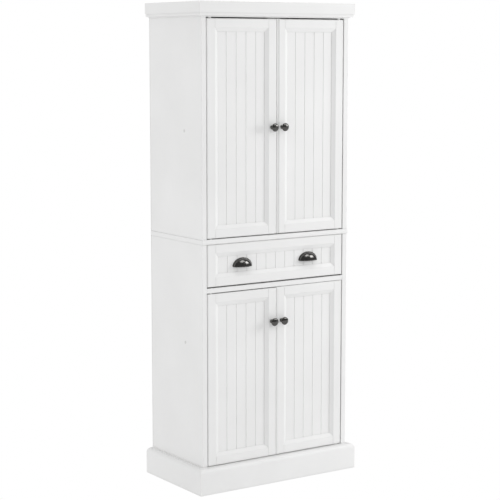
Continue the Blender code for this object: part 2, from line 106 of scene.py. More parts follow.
def add_sky():
    """White room: the background shows plain white, lights the cabinet a little less than that, and is
    dark in its gloss, as when black screens stand round the lamps to give polished metal its shape."""
    world = bpy.data.worlds.new("white_room")
    world.use_nodes = True
    tree = world.node_tree
    shown = tree.nodes["Background"]
    shown.inputs["Color"].default_value = WHITE
    shown.inputs["Strength"].default_value = 1.0
    sky = add_node(tree, "ShaderNodeBackground", {"Color": WHITE, "Strength": SKY_STRENGTH})
    dim = add_node(tree, "ShaderNodeBackground", {"Color": WHITE, "Strength": SKY_IN_METAL})
    path = add_node(tree, "ShaderNodeLightPath")
    light = add_node(tree, "ShaderNodeMixShader",
                     {0: path.outputs["Is Glossy Ray"], 1: sky.outputs[0], 2: dim.outputs[0]})
    room = add_node(tree, "ShaderNodeMixShader",
                    {0: path.outputs["Is Camera Ray"], 1: light.outputs[0], 2: shown.outputs[0]})
    tree.links.new(room.outputs[0], tree.nodes["World Output"].inputs["Surface"])
    bpy.context.scene.world = world


def add_floor():
    """A wide floor that is seen plain white, and sends back less light than that to the cabinet."""
    corners = np.array([(-1, -1), (1, -1), (1, 1), (-1, 1)]) * FLOOR_HALF
    mesh = bpy.data.meshes.new("floor")
    mesh.from_pydata(np.column_stack([corners, np.full(4, FLOOR_LEVEL)]), [], [(0, 1, 2, 3)])
    material = bpy.data.materials.new("pale_floor")
    material.use_nodes = True
    tree = material.node_tree
    shader = tree.nodes["Principled BSDF"]
    shader.inputs["Base Color"].default_value = FLOOR_TONE
    shader.inputs["Roughness"].default_value = 0.9
    shader.inputs["Emission Color"].default_value = WHITE
    shader.inputs["Emission Strength"].default_value = FLOOR_GLOW
    shown = add_node(tree, "ShaderNodeEmission", {"Color": WHITE, "Strength": 1.0})
    seen = add_node(tree, "ShaderNodeLightPath").outputs["Is Camera Ray"]
    plain = add_node(tree, "ShaderNodeMixShader", {0: seen, 1: shader.outputs[0], 2: shown.outputs[0]})
    tree.links.new(plain.outputs[0], tree.nodes["Material Output"].inputs["Surface"])
    mesh.materials.append(material)
    floor = bpy.data.objects.new("floor", mesh)
    bpy.context.scene.collection.objects.link(floor)


add_camera()
add_sky()
add_lamp("broad_lamp", (0.87, -0.43, 0.22), distance=3.4, size=1.10, power=40.0).visible_glossy = False
add_lamp("left_lamp", (-0.88, 0.44, 0.20), distance=3.4, size=2.20, power=12.0)
add_lamp("glint_lamp", (0.66, -0.49, 0.45), distance=2.8, size=1.05, power=32.0).visible_diffuse = False
add_lamp("overhead_lamp", (0.20, -0.46, 0.86), distance=3.0, size=1.50, power=32.0).visible_diffuse = False
add_floor()
bpy.context.scene.view_settings.view_transform = "Standard"

# ---------------------------------------------------------------- Case boards
# The sides, top, header rail, drawer divider and bottom are fibreboard, cut square with softened
# arrises, primed and sprayed with a white satin lacquer that has a very fine orange peel.
PAINT_TONES = ((0.835, 0.835, 0.832), (0.872, 0.872, 0.870))
PAINT_SPECULAR = 0.15
CREASE_SHADE_REACH = 0.014
CREASE_SHADE_TONE = (0.91, 0.91, 0.905)
NO_CREASE_SHADE = (1.0, 1.0, 1.0)


def noise(tree, vector, scale, detail=2.0, roughness=0.5):
    """Even random clouds; the scale is how many of them go to a metre."""
    made = add_node(tree, "ShaderNodeTexNoise",
                    {"Vector": vector, "Scale": scale, "Detail": detail, "Roughness": roughness})
    return made.outputs["Fac"]


def tones(tree, factor, dark, light, start=0.30, end=0.70):
    """A colour that goes from dark to light as the factor goes from start to end."""
    ramp = add_node(tree, "ShaderNodeValToRGB", {"Fac": factor})
    for stop, place, colour in zip(ramp.color_ramp.elements, (start, end), (dark, light)):
        stop.position = place
        stop.color = (*colour, 1.0)
    return ramp.outputs["Color"]


def spread(tree, factor, low, high, start=0.30, end=0.70):
    """A number that goes from low to high as the factor goes from start to end."""
    made = add_node(tree, "ShaderNodeMapRange", {"Value": factor, "From Min": start, "From Max": end,
                                                 "To Min": low, "To Max": high})
    return made.outputs["Result"]


def bump(tree, height, distance, below=None, strength=1.0):
    """A bump of the height, in metres, laid over another bump's normal."""
    made = add_node(tree, "ShaderNodeBump", {"Height": height, "Distance": distance, "Strength": strength})
    if below:
        tree.links.new(below, made.inputs["Normal"])
    return made.outputs["Normal"]


def new_finish(name):
    """A material with its shader and the coordinates of the piece itself, in metres."""
    material = bpy.data.materials.new(name)
    material.use_nodes = True
    tree = material.node_tree
    shader = tree.nodes["Principled BSDF"]
    place = add_node(tree, "ShaderNodeTexCoord").outputs["Object"]
    return material, tree, shader, place


def connect(tree, shader, **sockets):
    """Links sockets to the shader's inputs; an underscore in a key stands for a space."""
    for key, socket in sockets.items():
        tree.links.new(socket, shader.inputs[key.replace("_", " ")])


def satin_paint(name, dark, light, sheen_low, sheen_high, peel):
    """Sprayed lacquer: faint clouds of tone, painted shade where faces meet, uneven gloss, orange peel."""
    material, tree, shader, place = new_finish(name)
    clouds = tones(tree, noise(tree, place, 4.0, 4.0), dark, light)
    # Painted shade: the colour is darkened in corners, creases and grooves, more the closer other faces
    # stand round it.
    corner = add_node(tree, "ShaderNodeAmbientOcclusion", {"Distance": CREASE_SHADE_REACH}, samples=8)
    crease_shade = tones(tree, corner.outputs["AO"], CREASE_SHADE_TONE, NO_CREASE_SHADE, 0.40, 0.90)
    colour = add_node(tree, "ShaderNodeMixRGB", {"Fac": 1.0, "Color1": clouds, "Color2": crease_shade},
                      blend_type="MULTIPLY")
    gloss = spread(tree, noise(tree, place, 45.0, 3.0), sheen_low, sheen_high)
    sanding = bump(tree, noise(tree, place, 30.0, 2.0), 0.00012)
    skin = bump(tree, noise(tree, place, 620.0, 2.0), peel, sanding)
    connect(tree, shader, Base_Color=colour.outputs["Color"], Roughness=gloss, Normal=skin)
    shader.inputs["Specular IOR Level"].default_value = PAINT_SPECULAR
    return material


def finish_nodes(names, material):
    """Gives CAD nodes a material in place of their plain one."""
    for name in names:
        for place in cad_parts[name].material_slots:
            place.material = material


white_paint = satin_paint("white_satin_paint", *PAINT_TONES, 0.34, 0.46, 0.00006)
inside_paint = satin_paint("white_inside_paint", *PAINT_TONES, 0.44, 0.58, 0.00004)
finish_nodes(["side_upper_left", "side_upper_right", "side_lower_left", "side_lower_right"], white_paint)
finish_nodes(["top_panel", "header_rail", "drawer_divider", "bottom_panel"], white_paint)

# ---------------------------------------------------------------- Waist board
# One board between the upper cupboard and the drawer, standing proud of the front and both sides.
# Its front and end edges are routed to a round nose before it is sprayed with the case.
WAIST_CORNER = 0.0008
WAIST_END_SHARE = 0.6
WAIST_SEAM = 0.00028


def arc(centre_a, centre_b, radius, start, end, steps):
    """Points on a circle: the centre plus the radius times the cosine and sine of even angles."""
    angle = np.radians(np.linspace(start, end, steps + 1))
    return np.column_stack([centre_a + radius * np.cos(angle), centre_b + radius * np.sin(angle)])


def ring_faces(rows, columns):
    """Quads between neighbouring rings of a grid, and one face to close each end ring."""
    row = np.arange(rows - 1)[:, None] * columns
    here = np.arange(columns)[None, :]
    after = (here + 1) % columns
    quads = np.stack([row + here, row + after, row + columns + after, row + columns + here], -1)
    faces = quads.reshape(-1, 4).tolist()
    faces.append(list(range(columns)))
    faces.append(list(range((rows - 1) * columns, rows * columns)))
    return faces


def add_piece(name, rings, material, body, stands_for=(), sharp=32.0):
    """One closed piece, or a group of alike ones, from grids of points.

    The last axes of rings are ring, point round the ring, and x y z. A ring shrunk to a point is a
    pole. Faces are turned outwards, and wide flats keep their own direction next to a rounding.
    """
    rows, columns = rings.shape[-3:-1]
    count = rings.size // (rows * columns * 3)
    base = ring_faces(rows, columns)
    faces = [[v + k * rows * columns for v in face] for k in range(count) for face in base]
    mesh = bpy.data.meshes.new(name)
    mesh.from_pydata(rings.reshape(-1, 3), [], faces)
    shell = bmesh.new()
    shell.from_mesh(mesh)
    bmesh.ops.remove_doubles(shell, verts=shell.verts, dist=2e-6)
    bmesh.ops.recalc_face_normals(shell, faces=shell.faces)
    shell.to_mesh(mesh)
    shell.free()
    mesh.shade_smooth()
    mesh.set_sharp_from_angle(angle=math.radians(sharp))
    mesh.materials.append(material)
    piece = bpy.data.objects.new(name, mesh)
    bpy.context.scene.collection.objects.link(piece)
    weigh = piece.modifiers.new("flats", "WEIGHTED_NORMAL")
    weigh.keep_sharp = True
    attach(piece, body)
    if stands_for:
        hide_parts(*stands_for)
    return piece


def nosed_board(low, high, body_half, body_front):
    """A board's rings: its edge section carried round the left end, the front and the right end.

    The section is (projection, height): two quarter rounds with a flat between. A ring lies at one
    height; its corners are arcs of the corner radius plus the projection about a fixed centre. Past
    the case's sides the projection is drawn in to its end share.
    """
    nose = high[0] - body_half
    top = arc(0.0, high[2] - nose, nose, 90, 0, 8)
    bottom = arc(0.0, low[2] + nose, nose, 0, -90, 8)
    section = np.vstack([top, bottom])
    out = section[:, 0][:, None]
    turn = np.radians(np.linspace(0, 90, 9))
    reach = WAIST_CORNER + out
    right_x = body_half - WAIST_CORNER + reach * np.sin(turn)
    corner_y = body_front + WAIST_CORNER - reach * np.cos(turn)
    rear = np.full_like(out, high[1])
    x = np.hstack([-body_half - out, -right_x[:, ::-1], right_x, body_half + out])
    y = np.hstack([rear, corner_y[:, ::-1], corner_y, rear])
    x = np.sign(x) * np.minimum(np.abs(x), body_half + WAIST_END_SHARE * (np.abs(x) - body_half))
    z = np.broadcast_to(section[:, 1][:, None], x.shape)
    return np.stack([x, y, z], -1)


case_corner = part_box("side_upper_left")[0]
BODY_HALF = -case_corner[0]
BODY_FRONT = case_corner[1]
waist_low, waist_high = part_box("waist_board")
waist_low[2] -= WAIST_SEAM
waist_high[2] += WAIST_SEAM
waist_rings = nosed_board(waist_low, waist_high, BODY_HALF, BODY_FRONT)
add_piece("waist_board_nosed", waist_rings, white_paint, "root", ["waist_board"])

# ---------------------------------------------------------------- Crown
# Three strips of fibreboard moulding round the top, mitred at the front corners and glued to the
# case: a deep fascia, a small step, a narrow band and a shallow cove.
CROWN_FASCIA = 0.041
CROWN_STEP = 0.0035
CROWN_BAND = 0.010
MITRE_GAP = 0.00025
MITRE_SOFT = 0.0003


def crown_section(under, top, over):
    """(projection, height) round the crown: rounded fascia arrises, step, band and a quarter cove."""
    soft = 0.0010
    low = top - CROWN_FASCIA
    band_out = over - CROWN_STEP
    band_low = low - CROWN_BAND
    angle = np.radians(np.linspace(0, 90, 13))
    cove = np.column_stack([MITRE_GAP + (band_out - MITRE_GAP) * (1 - np.sin(angle)),
                            under + (band_low - under) * np.cos(angle)])
    return np.vstack([[(MITRE_GAP, top)], arc(over - soft, top - soft, soft, 90, 0, 4),
                      arc(over - soft, low + soft, soft, 0, -90, 4), [(band_out, low)], cove])


def mitred_strips(prefix, section):
    """Rings for the front strip and both side strips of one section.

    A point that stands p out from the case runs on to p past the corner, so the ends are mitred.
    The last ring of a mitre is drawn in a little, which leaves a fine V along the joint.
    """
    out, height = section[:, 0], section[:, 1]
    drawn = out - MITRE_SOFT * (out > 0.002)
    end = BODY_HALF + out - MITRE_GAP
    front = np.stack([
        np.column_stack([-end, BODY_FRONT - drawn, height]),
        np.column_stack([-end + MITRE_SOFT, BODY_FRONT - out, height]),
        np.column_stack([end - MITRE_SOFT, BODY_FRONT - out, height]),
        np.column_stack([end, BODY_FRONT - drawn, height])])
    add_piece(prefix + "_front_strip", front, white_paint, "root", [prefix + "_front"])
    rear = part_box(prefix + "_left")[1][1]
    for side, sign in (("left", -1), ("right", 1)):
        fore = BODY_FRONT - out + MITRE_GAP
        strip = np.stack([
            np.column_stack([sign * (BODY_HALF + drawn), fore, height]),
            np.column_stack([sign * (BODY_HALF + out), fore + MITRE_SOFT, height]),
            np.column_stack([sign * (BODY_HALF + out), np.full_like(out, rear), height])])
        node = f"{prefix}_{side}"
        add_piece(node + "_strip", strip, white_paint, "root", [node])


crown_low, crown_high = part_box("crown_front")
mitred_strips("crown", crown_section(crown_low[2], crown_high[2], BODY_FRONT - crown_low[1]))

# ---------------------------------------------------------------- Plinth
# Three strips round the foot, mitred like the crown: a plain face down to the floor, a rounded
# nose above it and a small quirk under the bottom board.
PLINTH_FACE = 0.082
PLINTH_NOSE = 0.015
PLINTH_NOSE_DEPTH = 0.016
PLINTH_QUIRK = 0.001


def plinth_section(top, over):
    """(projection, height) round the plinth: a soft foot, the face, a quarter ellipse and the quirk."""
    soft = 0.0008
    nose_in = over - PLINTH_NOSE_DEPTH
    angle = np.radians(np.linspace(0, 90, 15))
    nose = np.column_stack([nose_in + PLINTH_NOSE_DEPTH * np.cos(angle),
                            PLINTH_FACE + PLINTH_NOSE * np.sin(angle)])
    quirk_in = nose_in - PLINTH_QUIRK
    return np.vstack([[(MITRE_GAP, 0.0)], arc(over - soft, soft, soft, -90, 0, 3), nose,
                      [(quirk_in, PLINTH_FACE + PLINTH_NOSE), (quirk_in, top), (MITRE_GAP, top)]])


plinth_low, plinth_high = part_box("plinth_front")
mitred_strips("plinth", plinth_section(plinth_high[2], BODY_FRONT - plinth_low[1]))

# ---------------------------------------------------------------- Back panels
# Two sheets of white-faced hardboard nailed to the rear edges of the case, meeting behind the
# waist board. The rear face has the fine screen mark of the press.
BACK_INSET = 0.0005
BACK_ARRIS = 0.0004
NAIL_PITCH = 0.115
NAIL_INSET = 0.010
NAIL_END = 0.015
NAILS_ACROSS = 7
NAIL_HEAD = np.array([(-0.0002, 0.0022), (0.0002, 0.0022), (0.0004, 0.00154), (0.00045, 0.0)])


def screen_board(name, tone):
    """Hardboard: even white lacquer with slight clouds, and a fine cross-hatch pressed into it."""
    material, tree, shader, place = new_finish(name)
    clouds = tones(tree, noise(tree, place, 9.0, 5.0), [0.95 * c for c in tone], tone)
    across = add_node(tree, "ShaderNodeTexWave", {"Vector": place, "Scale": 330.0}, bands_direction="X")
    upward = add_node(tree, "ShaderNodeTexWave", {"Vector": place, "Scale": 330.0}, bands_direction="Z")
    hatch = bump(tree, across.outputs["Fac"], 0.00005)
    hatch = bump(tree, upward.outputs["Fac"], 0.00005, hatch)
    gloss = spread(tree, noise(tree, place, 80.0, 3.0), 0.50, 0.66)
    connect(tree, shader, Base_Color=clouds, Roughness=gloss, Normal=hatch)
    return material


def plated_steel(name, dark, light, rough_low, rough_high):
    """Zinc plate: cloudy bright metal with a fine grain and a slightly uneven gloss."""
    material, tree, shader, place = new_finish(name)
    colour = tones(tree, noise(tree, place, 140.0, 4.0), dark, light)
    gloss = spread(tree, noise(tree, place, 400.0, 3.0), rough_low, rough_high)
    grain = bump(tree, noise(tree, place, 1500.0, 2.0), 0.00002)
    connect(tree, shader, Base_Color=colour, Roughness=gloss, Normal=grain)
    shader.inputs["Metallic"].default_value = 1.0
    return material


def square_to(axis):
    """The axis as an array, and two directions square to it and to each other."""
    axis = np.array(axis, float)
    first = np.roll(np.abs(axis), 1)
    return axis, first, np.cross(axis, first)


def turned(profile, centres, axis, steps):
    """Rings of turned pieces: each (distance, radius) of the profile swung round a line along the axis.

    The point at angle t is the centre plus distance along the axis, plus the radius times the cosine
    and sine of t along the two directions square to it. centres may hold one place or many.
    """
    axis, first, second = square_to(axis)
    angle = 2 * np.pi * np.arange(steps) / steps
    spoke = np.cos(angle)[:, None] * first + np.sin(angle)[:, None] * second
    shape = profile[:, 0, None, None] * axis + profile[:, 1, None, None] * spoke
    return np.array(centres, float)[..., None, None, :] + shape


def rounded_board(low, high, radius, steps=2):
    """Rings of a board with all its arrises rounded, as a stretched ball.

    A ring lies at one latitude. Each quarter turn of a ring is an arc of the radius about its own
    corner, and the two half balls are pulled apart to the board's thickness.
    """
    low = np.array(low) + radius
    high = np.array(high) - radius
    below = np.linspace(-90, 0, steps + 1)
    latitude = np.radians(np.concatenate([below, below + 90]))
    quarter = np.linspace(0, 90, steps + 1)
    longitude = np.radians(np.concatenate([quarter, quarter + 90, quarter + 180, quarter + 270]))
    right = np.repeat([True, False, False, True], steps + 1)
    rear = np.repeat([True, True, False, False], steps + 1)
    above = np.repeat([False, True], steps + 1)[:, None]
    wide = radius * np.cos(latitude)[:, None]
    x = np.where(right, high[0], low[0]) + wide * np.cos(longitude)
    y = np.where(rear, high[1], low[1]) + wide * np.sin(longitude)
    z = np.where(above, high[2], low[2]) + radius * np.sin(latitude)[:, None] + 0 * x
    return np.stack([x, y, z], -1)


def back_panel(node):
    """A hardboard sheet, and a row of nails along each of its edges."""
    low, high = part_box(node)
    high[1] -= BACK_INSET
    add_piece(node + "_sheet", rounded_board(low, high, BACK_ARRIS), screen_white, "root",
              [node])
    edge = BODY_HALF - NAIL_INSET
    first_z = low[2] + NAIL_END
    last_z = high[2] - NAIL_END
    side_z = np.linspace(first_z, last_z, int((last_z - first_z) / NAIL_PITCH) + 1)
    row_x = np.linspace(-edge, edge, NAILS_ACROSS)[1:-1]
    nails = [(x, high[1], z) for x in (-edge, edge) for z in side_z]
    nails += [(x, high[1], z) for z in (first_z, last_z) for x in row_x]
    add_piece(node + "_nails", turned(NAIL_HEAD, nails, (0, 1, 0), 10), zinc_plate, "root")


screen_white = screen_board("white_hardboard", (0.80, 0.80, 0.79))
zinc_plate = plated_steel("zinc_plate", (0.56, 0.57, 0.58), (0.72, 0.72, 0.72), 0.28, 0.42)
back_panel("back_panel_upper")
back_panel("back_panel_lower")

# ---------------------------------------------------------------- Shelves and pegs
# Two fixed shelves and one loose one, fibreboard with the matter inside lacquer. The loose shelf
# lies on four turned and plated pegs. Moulded caps on the outside cover the fixed shelves' screws.
CAP_RADIUS = 0.0060
CAP_Y = -0.050


def moulded_plastic(name, dark, light, rough_low, rough_high):
    """Moulded plastic: a slight mottle, a fine spark-eroded grain and a soft gloss."""
    material, tree, shader, place = new_finish(name)
    colour = tones(tree, noise(tree, place, 60.0, 3.0), dark, light)
    gloss = spread(tree, noise(tree, place, 250.0, 2.0), rough_low, rough_high)
    grain = bump(tree, noise(tree, place, 2200.0, 2.0), 0.00003)
    connect(tree, shader, Base_Color=colour, Roughness=gloss, Normal=grain)
    return material


white_nylon = moulded_plastic("white_nylon", (0.78, 0.78, 0.76), (0.86, 0.86, 0.84), 0.36, 0.50)
pale_cap = moulded_plastic("pale_cap", (0.68, 0.68, 0.67), (0.73, 0.73, 0.72), 0.42, 0.55)
finish_nodes(["shelf_upper_fixed", "shelf_upper_loose", "shelf_lower_fixed"], inside_paint)
finish_nodes(["shelf_peg_left_front", "shelf_peg_left_rear"], zinc_plate)
finish_nodes(["shelf_peg_right_front", "shelf_peg_right_rear"], zinc_plate)


def shelf_cap(name, sign, shelf):
    """A domed cap with a round rim, let into the side at half the shelf's thickness."""
    low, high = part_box(shelf)
    angle = np.radians(np.linspace(0, 90, 5))
    dome = np.column_stack([0.0003 + 0.0006 * np.sin(angle), CAP_RADIUS * (0.80 + 0.20 * np.cos(angle))])
    skirt = [(-0.0004, 0.0), (-0.0004, CAP_RADIUS)]
    top = [(0.0010, 0.45 * CAP_RADIUS), (0.00105, 0.0)]
    profile = np.vstack([skirt, dome, top])
    centre = (sign * BODY_HALF, CAP_Y, (low[2] + high[2]) / 2)
    add_piece(name, turned(profile, centre, (sign, 0, 0), 32), pale_cap, "root")


for side, sign in (("left", -1), ("right", 1)):
    shelf_cap(f"shelf_cap_upper_{side}", sign, "shelf_upper_fixed")
    shelf_cap(f"shelf_cap_lower_{side}", sign, "shelf_lower_fixed")

# ---------------------------------------------------------------- Magnetic catches
# A double catch behind each pair of doors: a moulded case with two steel poles, held by two
# cross-head screws to the header rail above and under the drawer divider below.
SCREW_RADIUS = 0.0034
SCREW_RISE = 0.0014
CROSS_HALF = 0.16
CROSS_REACH = 0.6
CROSS_DEPTH = 0.75
UPPER_SCREW_X = 0.020
UPPER_SCREW_DROP = 0.010
LOWER_SCREW_X = 0.022
LOWER_SCREW_INSET = 0.006
STRIKE_GAP = 0.0015
POLE_X = (0.006, 0.026)
POLE_DEEP = 0.0021
POLE_THICK = 0.0016
POLE_RISES = {"low": 0.0035, "high": 0.0105}
finish_nodes(["magnetic_catch_upper", "magnetic_catch_lower"], white_nylon)


def cross_heads(centres, axis, radius, rise, steps=24):
    """Rings of domed screw heads with a cross pressed in.

    The height at radius r and angle t is a dome, less a dip that is full on two crossed lines
    through the middle and fades out within a narrow distance of them.
    """
    ring = radius * np.array([0.0, 0.14, 0.28, 0.42, 0.56, 0.70, 0.84, 0.94, 1.0, 1.0])[::-1]
    angle = 2 * np.pi * np.arange(steps) / steps
    u = ring[:, None] * np.cos(angle)
    v = ring[:, None] * np.sin(angle)
    height = rise * np.sqrt(np.clip(1 - 0.75 * (ring / radius) ** 2, 0, 1))[:, None] + 0 * u
    near = np.minimum(np.abs(u), np.abs(v)) / (CROSS_HALF * radius)
    dip = CROSS_DEPTH * rise * np.clip(1 - near, 0, 1) * (ring[:, None] < CROSS_REACH * radius)
    height = height - dip
    height[0] = -0.0003
    axis, first, second = square_to(axis)
    shape = height[..., None] * axis + u[..., None] * first + v[..., None] * second
    return np.array(centres, float)[:, None, None, :] + shape


def add_screws(name, centres, axis, body, radius=SCREW_RADIUS, rise=SCREW_RISE):
    """Plated cross-head screws at these places, their heads facing along the axis."""
    add_piece(name, cross_heads(centres, axis, radius, rise), zinc_plate, body, sharp=50.0)


def add_poles(level, foot_z):
    """The thin steel poles of a double catch: two for each door, one above the other."""
    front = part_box("door_upper_left_frame")[1][1] + STRIKE_GAP
    for side, sign in (("left", -1), ("right", 1)):
        x = sorted(sign * edge for edge in POLE_X)
        for place, rise in POLE_RISES.items():
            low = (x[0], front, foot_z + rise)
            high = (x[1], front + POLE_DEEP, foot_z + rise + POLE_THICK)
            name = f"catch_pole_{level}_{side}_{place}"
            add_piece(name, rounded_board(low, high, 0.0002), zinc_plate, "root")


upper_low, upper_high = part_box("magnetic_catch_upper")
lower_low, lower_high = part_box("magnetic_catch_lower")
upper_z = upper_high[2] - UPPER_SCREW_DROP
lower_y = lower_high[1] - LOWER_SCREW_INSET
upper_screws = [(sign * UPPER_SCREW_X, upper_high[1], upper_z) for sign in (-1, 1)]
lower_screws = [(sign * LOWER_SCREW_X, lower_y, lower_low[2]) for sign in (-1, 1)]
add_screws("catch_screws_upper", upper_screws, (0, 1, 0), "root")
add_screws("catch_screws_lower", lower_screws, (0, 0, -1), "root")
add_poles("upper", upper_low[2])
add_poles("lower", lower_low[2])

# ---------------------------------------------------------------- Stiles and rails
# Five-piece fronts: the stiles run the full height, and the rails' ends are coped over their moulding
# and glued, which leaves a fine open line. Where it meets the left door, the upper right door has a
# sunk strip and the lower right door a broad ease.
DOORS = [f"door_{level}_{side}" for level in ("upper", "lower") for side in ("left", "right")]
STILE_FLAT = 0.0355
RAIL_FLAT = 0.0335
OGEE_WIDTH = 0.0145
OGEE_DROP = 0.0072
QUIRK = 0.0009
QUIRK_WIDTH = 0.0003
EDGE_ROUND = 0.0045
REAR_ROUND = 0.0006
MEETING_EASE = (0.0100, 0.0040)
STEP_WIDTH = 0.0072
STEP_DROP = 0.0040
STEP_COVE = 0.0034
STEP_ROUND = 0.0012
LOWER_MEETING_EXTRA = 0.0009
DRAWER_TOP_EXTRA = 0.0006
GROOVE_TOP = 0.0087
GROOVE_BOTTOM = 0.0153
GROOVE_DEPTH = 0.0073
JOINT_LINE = 0.0009
JOINT_SOFT = 0.0004


def moulding_drop(travel):
    """The moulding's drop as it goes in: a short steep quirk, then a long even slope.

    With t from 0 to 1 across the slope, its drop is t with both ends eased: the root of t squared
    plus e squared, less the root of (1 - t) squared plus e squared, brought to run from 0 to 1.
    """
    quirk = QUIRK * np.clip(travel / QUIRK_WIDTH, 0, 1)
    t = np.clip((travel - QUIRK_WIDTH) / (OGEE_WIDTH - QUIRK_WIDTH), 0, 1)
    ease = 0.10
    span = math.hypot(1, ease) - ease
    slope = (np.hypot(t, ease) - np.hypot(1 - t, ease) + span) / (2 * span)
    return quirk + (OGEE_DROP - QUIRK) * slope


def eased_edge(width, depth):
    """(inset, depth) over an edge: a quarter of an ellipse, by its width on the face and its depth."""
    turn = np.radians(np.linspace(0, 90, 9))
    return np.column_stack([width * (1 - np.cos(turn)), depth * (1 - np.sin(turn))])


def stepped_edge():
    """(inset, depth) over an edge: a sunk strip with a soft arris, then a rise of half a cosine wave."""
    strip = eased_edge(STEP_ROUND, STEP_ROUND) + (0, STEP_DROP)
    t = np.linspace(0, 1, 9)
    rise = np.column_stack([STEP_WIDTH + STEP_COVE * t, STEP_DROP * (0.5 + 0.5 * np.cos(math.pi * t))])
    return np.vstack([strip, rise])


def member_section(flat, thick, edge):
    """(inset, depth) round a stile or rail: outer edge, flat, moulding, lip, groove and rear."""
    inner = flat + OGEE_WIDTH
    deep = inner - GROOVE_DEPTH
    travel = np.concatenate([[0.0], np.linspace(QUIRK_WIDTH, OGEE_WIDTH, 15)])
    moulding = np.column_stack([flat + travel, moulding_drop(travel)])
    groove = [(inner, GROOVE_TOP), (deep, GROOVE_TOP), (deep, GROOVE_BOTTOM), (inner, GROOVE_BOTTOM)]
    rear = [(inner, thick - REAR_ROUND), (inner - REAR_ROUND, thick), (REAR_ROUND, thick),
            (0.0, thick - REAR_ROUND), (0.0, OGEE_DROP)]
    return np.vstack([edge, moulding, groove, rear])


def add_stile(name, outer_x, inward, z_low, z_high, face_y, thick, body, edge, stands_for=()):
    """A stile: its section carried upright. Near each end the face also rounds over, so the depth
    is the larger of the section's and the end's."""
    section = member_section(STILE_FLAT, thick, edge)
    turn = np.radians(np.linspace(0, 90, 7))
    in_from_end = EDGE_ROUND * (1 - np.cos(turn))
    dip = EDGE_ROUND * (1 - np.sin(turn))
    z = np.concatenate([z_low + in_from_end, (z_high - in_from_end)[::-1]])[:, None]
    depth = np.maximum(section[:, 1], np.concatenate([dip, dip[::-1]])[:, None])
    x = outer_x + inward * section[:, 0] + 0 * z
    rings = np.stack([x, face_y + depth, z + 0 * x], -1)
    add_piece(name, rings, white_paint, body, stands_for)


def add_rail(name, outer_z, inward, x_low, x_high, face_y, thick, body):
    """A rail: its section carried across. Each point stops where the stile's moulding has the same
    depth, which is the coped end, and the face dips a little at the joint."""
    section = member_section(RAIL_FLAT, thick, eased_edge(EDGE_ROUND, EDGE_ROUND))
    travel = np.concatenate([[0.0], np.linspace(QUIRK_WIDTH, OGEE_WIDTH, 61)])
    cope = np.interp(section[:, 1], moulding_drop(travel), STILE_FLAT + travel) + JOINT_LINE
    dipped = section[:, 1] + JOINT_SOFT * (section[:, 1] < OGEE_DROP)
    x = np.stack([x_low + cope, x_low + cope + JOINT_SOFT, x_high - cope - JOINT_SOFT, x_high - cope])
    depth = np.stack([dipped, section[:, 1], section[:, 1], dipped])
    z = outer_z + inward * section[:, 0] + 0 * x
    add_piece(name, np.stack([x, face_y + depth, z], -1), white_paint, body)


def add_front_frame(name, body):
    """Two stiles and two rails in the place of one glued frame."""
    low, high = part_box(name + "_frame")
    thick = high[1] - low[1]
    plain = eased_edge(EDGE_ROUND, EDGE_ROUND)
    meeting = {"door_upper_right": stepped_edge(), "door_lower_right": eased_edge(*MEETING_EASE)}
    if name == "door_lower_left":
        high[0] += LOWER_MEETING_EXTRA
    if name == "door_lower_right":
        low[0] -= LOWER_MEETING_EXTRA
    if name == "drawer_front":
        high[2] += DRAWER_TOP_EXTRA
    upright = (low[2], high[2], low[1], thick, body)
    add_stile(name + "_stile_left", low[0], 1, *upright, meeting.get(name, plain), [name + "_frame"])
    add_stile(name + "_stile_right", high[0], -1, *upright, plain)
    across = (low[0], high[0], low[1], thick, body)
    add_rail(name + "_rail_bottom", low[2], 1, *across)
    add_rail(name + "_rail_top", high[2], -1, *across)


for door in DOORS:
    add_front_frame(door, door)
add_front_frame("drawer_front", "drawer")

# ---------------------------------------------------------------- Beaded panels
# A thin fibreboard panel floats in the groove of each front. Upright V grooves with a soft bottom
# are cut into its face at an even pitch, four on a door and eleven on the drawer.
BEAD_PITCH = 0.0436
BEAD_WIDTH = 0.0036
BEAD_DEPTH = 0.0018
BEAD_BLUNT = 0.18


def beaded_rings(low, high, beads):
    """A panel's rings: the face's profile carried upright, closed by a flat rear.

    Beside each groove's middle the face drops by the bead depth times one less the distance over
    the half width, with the bottom rounded by a square root of the distance squared plus a little.
    """
    half = BEAD_WIDTH / 2
    middle = (low[0] + high[0]) / 2
    offset = np.linspace(-1, 1, 17)
    brim = math.hypot(1, BEAD_BLUNT)
    drop = (brim - np.hypot(offset, BEAD_BLUNT)) / (brim - BEAD_BLUNT)
    centre = middle + (np.arange(beads) - (beads - 1) / 2) * BEAD_PITCH
    x = (centre[:, None] + half * offset).ravel()
    depth = np.tile(BEAD_DEPTH * drop, beads)
    x = np.concatenate([[low[0]], x, [high[0], high[0], low[0]]])
    y = np.concatenate([[low[1]], low[1] + depth, [low[1], high[1], high[1]]])
    ring = np.column_stack([x, y, np.full_like(x, low[2])])
    upper = ring + (0, 0, high[2] - low[2])
    return np.stack([ring, upper])


def add_panel(node, body, beads):
    """A beaded panel in the place of the plain one."""
    low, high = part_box(node)
    add_piece(node + "_beaded", beaded_rings(low, high, beads), white_paint, body, [node])


for door in DOORS:
    add_panel(door + "_panel", door, 4)
add_panel("drawer_front_panel", "drawer", 11)

# ---------------------------------------------------------------- Knobs
# Four cast knobs with a foot disc, a waisted neck and a domed head, finished in a dark oil-rubbed
# bronze that is a little brighter on its edges. A pan-head bolt holds each from inside the door.
KNOB_BASE = [(0.0, 0.0070), (0.0006, 0.0077), (0.0016, 0.0080), (0.0028, 0.0078), (0.0036, 0.0070),
             (0.0046, 0.0058), (0.0062, 0.0054), (0.0090, 0.0055), (0.0120, 0.0066), (0.0150, 0.0090),
             (0.0178, 0.0120), (0.0200, 0.0144), (0.0212, 0.0154)]
KNOB_RIM = 0.0218
BOLT_HEAD = (0.0042, 0.0022)
BARE_BRONZE = (0.22, 0.205, 0.19, 1.0)


